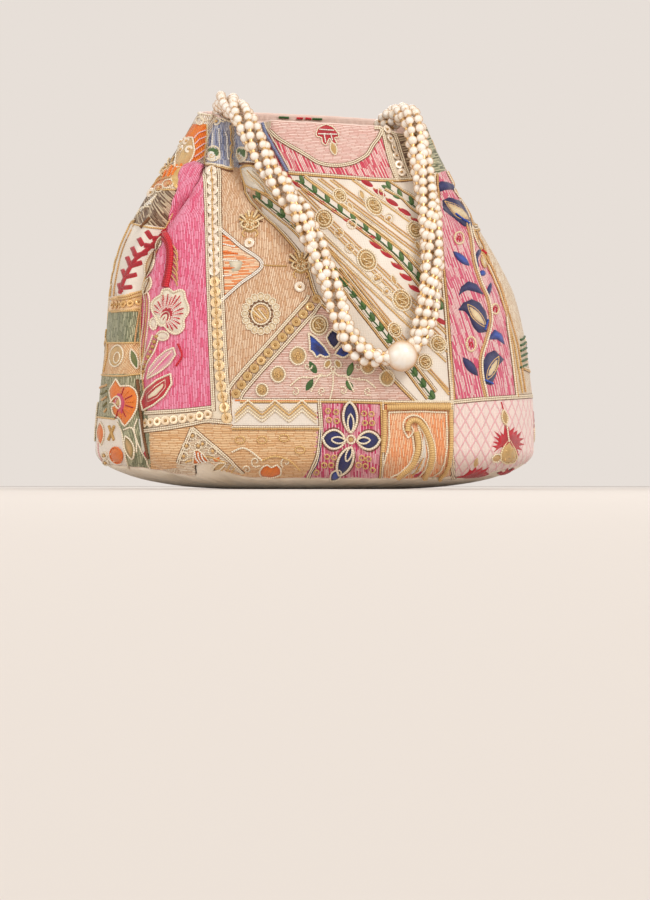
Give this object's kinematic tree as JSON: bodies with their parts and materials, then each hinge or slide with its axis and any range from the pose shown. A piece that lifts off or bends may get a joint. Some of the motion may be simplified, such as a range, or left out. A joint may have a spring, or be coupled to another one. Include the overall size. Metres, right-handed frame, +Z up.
{
  "type": "potli bag",
  "caption": "Soft gathered potli bag with embroidered patchwork sides, a satin base and lining, metal eyelets under the rim and a draped rope handle of pearls.",
  "frame": {"origin": "centre of the bag's bounding box without its handle, at the level of the base it stands on", "axes": "+X across the front to the right as it is faced, +Y from the front to the back, +Z up from the base to the mouth"},
  "size_m": [0.2178, 0.1392, 0.196],
  "materials": {
    "embroidered_cloth": "hand embroidered satin patchwork",
    "satin": "plain cream satin",
    "lining_satin": "plain satin lining",
    "board": "plain stiff board",
    "gold_metal": "polished gold tone",
    "pearl": "imitation pearl"
  },
  "bodies": {
    "root": {"base_board": "board", "base_panel": "satin", "eyelet_back_left": "gold_metal", "eyelet_back_right": "gold_metal", "eyelet_left_back": "gold_metal", "eyelet_left_front": "gold_metal", "eyelet_left_side": "gold_metal", "eyelet_right_back": "gold_metal", "eyelet_right_side": "gold_metal", "eyelet_washer_back_left": "gold_metal", "eyelet_washer_back_right": "gold_metal", "eyelet_washer_left_back": "gold_metal", "eyelet_washer_left_front": "gold_metal", "eyelet_washer_left_side": "gold_metal", "eyelet_washer_right_back": "gold_metal", "eyelet_washer_right_side": "gold_metal", "handle_pearl": "pearl", "handle_rope_left": "pearl", "handle_rope_right": "pearl", "handle_tab_left": "satin", "handle_tab_right": "satin", "lining": "lining_satin", "outer_shell": "embroidered_cloth"}
  },
  "joints": []
}
